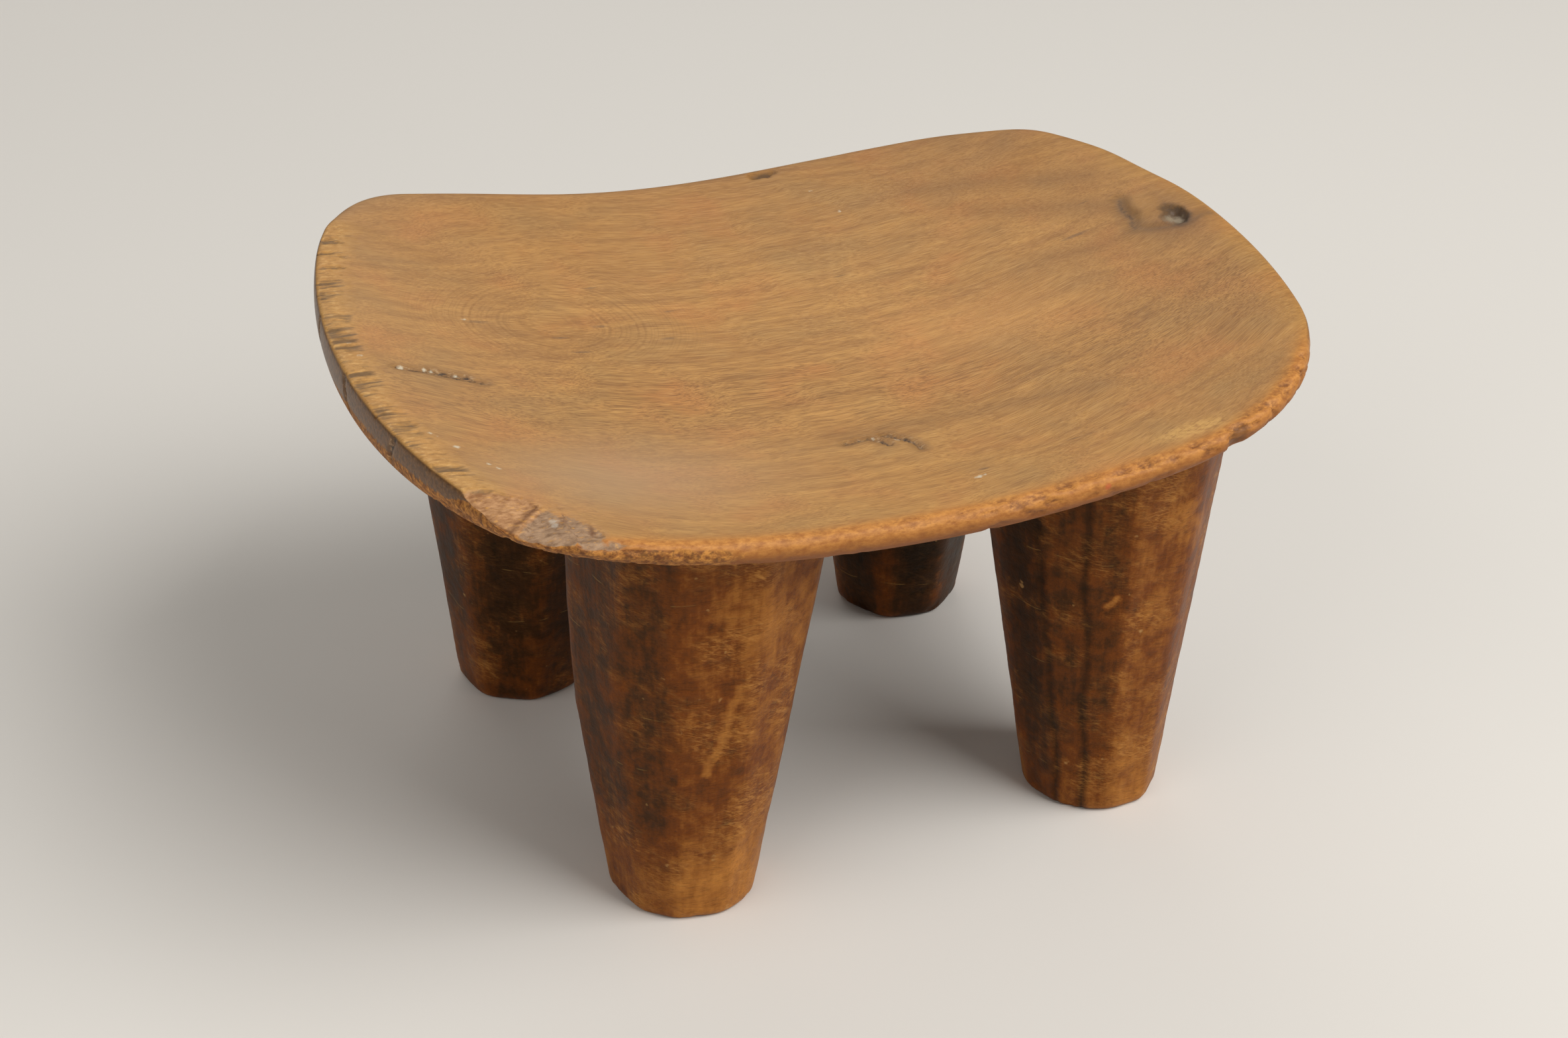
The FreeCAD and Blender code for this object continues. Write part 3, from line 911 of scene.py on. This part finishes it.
tone = add(tree, "Mix", add(tree, "MapRange", filler, 4.6, 2.9, 0.0, .75), tone, hexa("#A29177"), **lay)

# %% Iroko worn to satin: notch, flecks and specks
tone = add(tree, "Mix", add(tree, "MapRange", mark["notch"], 2.4, .9, 0.0, .75), tone, hexa("#3C2B1E"), **lay)
slate = add(tree, "Math", grit, .9, mark["fleck"], **times_plus)
tone = add(tree, "Mix", add(tree, "MapRange", slate, 1.5, .8, 0.0, .5), tone, hexa("#5F4C3B"), **lay)
speck = add(tree, "Math", grit, 1.6, mark["speck"], **times_plus)
tone = add(tree, "Mix", add(tree, "MapRange", speck, 1.1, .6, 0.0, .8), tone, hexa("#D7CAAF"), **lay)

# %% Iroko worn to satin: sheen and relief
gloss = add(tree, "MapRange", dashes, .3, .7, .42, .52)
gloss = add(tree, "Mix", film, gloss, .36)
gloss = add(tree, "Mix", mark["front"], gloss, .6)
gloss = add(tree, "Mix", hewn, gloss, .66)
gloss = add(tree, "Mix", arris, gloss, .7)
gloss = add(tree, "Mix", broken, gloss, .72)
coarse = add(tree, "Math", mark["front"], broken, operation="MAXIMUM")
coarse = add(tree, "Math", coarse, lip_share, operation="MAXIMUM")
relief = add(tree, "Math", dark_dash, -.3, **times)
relief = add(tree, "Math", add(tree, "Math", coarse, crumbs, **times), 3.5, relief, **times_plus)
bump = add(tree, "Bump", named={"Height": relief, "Strength": .4, "Distance": .12 * mm})
finish = add(tree, "BsdfPrincipled", named={
    "Base Color": tone, "Roughness": gloss, "IOR": 1.5, "Specular IOR Level": .45, "Normal": bump})
add(tree, "OutputMaterial", finish)
seat.data.materials.append(seat_wood)
print(seat_wood.name, len(tree.nodes), "nodes")

# %% [markdown]
# The legs are the same wood, left as the adze cut it and darkened by smoke, oil and hands. The patina
# is almost black in the hollows; along the creases this near black is painted shade. It is worn through to
# rust on the faces that get handled and to ochre at the feet, so one mark for wear picks the coat, with a
# grit of many sizes to break up its edges. On the rear legs that mark also carries painted shade.

# %% Iroko hewn and darkened: the patina
leg_wood = bpy.data.materials.new("iroko_hewn_dark_patina")
leg_wood.use_nodes = True
tree = leg_wood.node_tree
tree.nodes.clear()
place, _, _, dashes, _ = figure(tree)
wear_and_shade_mark = add(tree, "Attribute", attribute_name="wear_and_shade").outputs["Fac"]
crease_mark = add(tree, "Attribute", attribute_name="crease").outputs["Fac"]
grit = add(tree, "TexNoise", place, 1 / 5, 6.0, .7)
blotches = add(tree, "TexNoise", place, 1 / 11, 3.0)
upright_size = (1 / 1.3, 1 / 1.3, 1 / 45)
uprights = add(tree, "TexNoise", add(tree, "VectorMath", place, upright_size, **times), 1.0, 3.0)
# The mark holds wear and, on the rear legs, painted shade; it picks the patina coat.
wear_and_shade_level = add(tree, "Math", grit, 1.7, wear_and_shade_mark, **times_plus)
wear_and_shade_level = add(tree, "Math", blotches, .4, wear_and_shade_level, **times_plus)
wear_and_shade_level = add(tree, "Math", uprights, .5, wear_and_shade_level, **times_plus)
tone = add(tree, "Mix", add(tree, "MapRange", wear_and_shade_level, .75, 1.27), hexa("#180D05"), hexa("#422510"), **lay)
tone = add(tree, "Mix", add(tree, "MapRange", wear_and_shade_level, 1.27, 1.78), tone, hexa("#733C14"), **lay)
tone = add(tree, "Mix", add(tree, "MapRange", wear_and_shade_level, 1.78, 2.75), tone, hexa("#BA7A37"), **lay)
tone = add(tree, "Mix", add(tree, "MapRange", dashes, .52, .66, 0.0, .3), tone, hexa("#211208"), **lay)
# Painted shade: the creases go near black.
crease_shade = add(tree, "Math", grit, 2.0, crease_mark, **times_plus)
tone = add(tree, "Mix", add(tree, "MapRange", crease_shade, 3.0, 1.0, 0.0, .8), tone, hexa("#170D06"), **lay)

# %% [markdown]
# On the dark side thin pale cracks run level with the grain, and on the worn side there are patches of
# fine slanting scuffs, where the leg was dragged against other things.

# %% Iroko hewn and darkened: cracks and scuffs
crack_step = 9.0
bend = add(tree, "TexNoise", place, 1 / 28, 2.0)
rise = add(tree, "SeparateXYZ", place).outputs["Z"]
cracks = add(tree, "Math", bend, 9.0, rise, **times_plus)
cracks = add(tree, "Math", cracks, crack_step, operation="PINGPONG")
cracks = add(tree, "MapRange", cracks, .2, .06)
stretches = add(tree, "MapRange", add(tree, "TexNoise", place, 1 / 7, 3.0), .52, .6, 0.0, .5)
cracks = add(tree, "Math", cracks, stretches, **times)
cracks = add(tree, "Math", cracks, add(tree, "MapRange", wear_and_shade_level, 1.9, 1.4), **times)
tone = add(tree, "Mix", cracks, tone, hexa("#9E7B44"), **lay)
handled = add(tree, "MapRange", add(tree, "TexNoise", place, 1 / 14, 3.0), .44, .64)
handled = add(tree, "Math", handled, add(tree, "MapRange", wear_and_shade_level, 1.25, 1.9, .08, .7), **times)
for tilt, scuff_size in ((.6, (5, 5, 1.4)), (.32, (2.6, 2.6, .3)), (-.1, (3.4, 3.4, .3))):
    way = add(tree, "Mapping", place, (0, 0, 0), (0, tilt, 0), scuff_size, vector_type="TEXTURE")
    scuffs = add(tree, "MapRange", add(tree, "TexNoise", way, 1.0, 4.0, .65), .52, .7, 0.0, .85)
    tone = add(tree, "Mix", add(tree, "Math", scuffs, handled, **times), tone, hexa("#C78B46"), **lay)
chips = add(tree, "TexNoise", place, 1 / 4.2, 2.0)
tone = add(tree, "Mix", add(tree, "MapRange", chips, .73, .78, 0.0, .6), tone, hexa("#C0945A"), **lay)

# %% Iroko hewn and darkened: sheen and relief
bump = add(tree, "Bump", named={"Height": grit, "Strength": .5, "Distance": .7 * mm})
finish = add(tree, "BsdfPrincipled", named={
    "Base Color": tone, "Roughness": add(tree, "MapRange", grit, .3, .7, .42, .6), "IOR": 1.5,
    "Specular IOR Level": .25, "Specular Tint": hexa("#E0B484"), "Normal": bump})
add(tree, "OutputMaterial", finish)
for piece in leg_pieces:
    piece.data.materials.append(leg_wood)
print(leg_wood.name, len(tree.nodes), "nodes")

# %% [markdown]
# ## Floor, light and camera
# The stool stands on a plain pale floor under plain soft light: one broad lamp to the front right, as
# in the photograph, with a weaker one opposite, one behind and a grey surround.

# %% Floor
floor_reach = 3
floor_corners = [(floor_reach * a, floor_reach * b, 0) for a, b in ((-1, -1), (1, -1), (1, 1), (-1, 1))]
floor_mesh = bpy.data.meshes.new("floor")
floor_mesh.from_pydata(floor_corners, [], [(0, 1, 2, 3)])
floor = bpy.data.objects.new("floor", floor_mesh)
bpy.context.collection.objects.link(floor)
floor_paint = bpy.data.materials.new("matt_pale_floor")
floor_paint.use_nodes = True
tree = floor_paint.node_tree
tree.nodes.clear()
floor_finish = add(tree, "BsdfPrincipled", named={"Base Color": hexa("#E2DDD5"), "Roughness": .8})
add(tree, "OutputMaterial", floor_finish)
floor.data.materials.append(floor_paint)

# %% Lamps
# Where each lamp stands in metres, where it points, how wide it is, and its watts. The key points past
# the stool, so that the floor under it does not burn out.
lamps = {
    "key": ((.8, -.8, 1.5), (-.8, .8, 0), 1.4, 33.6),
    "fill": ((-1.3, -.6, 1.1), (0, 0, .08), 1.4, 6.5),
    "back": ((.1, 1.4, 1.4), (0, 0, .08), 1.4, 5.6),
}
for name, (spot, target, size, watts) in lamps.items():
    light = bpy.data.lights.new(name, "AREA")
    light.size = size
    light.energy = watts
    lamp = bpy.data.objects.new(name, light)
    bpy.context.collection.objects.link(lamp)
    lamp.location = spot
    lamp.rotation_euler = (Vector(spot) - Vector(target)).to_track_quat("Z", "Y").to_euler()

# %% Surround
scene = bpy.context.scene
world = bpy.data.worlds.new("studio")
scene.world = world
world.use_nodes = True
surround = world.node_tree.nodes["Background"]
surround.inputs["Color"].default_value = hexa("#E4E2DE")
surround.inputs["Strength"].default_value = .275
scene.view_settings.view_transform = "Standard"
print(len(lamps), "lamps and a", world.name, "surround")

# %% [markdown]
# The camera was fitted: its direction and distance are those at which the rim and the four
# feet of the CAD model fall on those in the photograph.

# %% Camera where the photographer stood
azimuth = math.radians(-21.565)
elevation = math.radians(31.327)
roll = math.radians(.965)
aim = np.array([-6.475, -4.228, 70.0])
distance = 784.816
back = np.array([math.sin(azimuth) * math.cos(elevation), -math.cos(azimuth) * math.cos(elevation),
                 math.sin(elevation)])
level = np.array([math.cos(azimuth), math.sin(azimuth), 0])
upright = np.cross(back, level)
right = math.cos(roll) * level + math.sin(roll) * upright
up = math.cos(roll) * upright - math.sin(roll) * level
stand = (aim + back * distance) * mm
lens = bpy.data.cameras.new("photo_camera")
lens.sensor_width = 36
lens.lens = 66.89
lens.clip_start = .01
camera = bpy.data.objects.new("photo_camera", lens)
bpy.context.collection.objects.link(camera)
turned = Matrix(np.stack([right, up, back], 1).tolist()).to_4x4()
camera.matrix_world = Matrix.Translation(stand) @ turned
scene.camera = camera
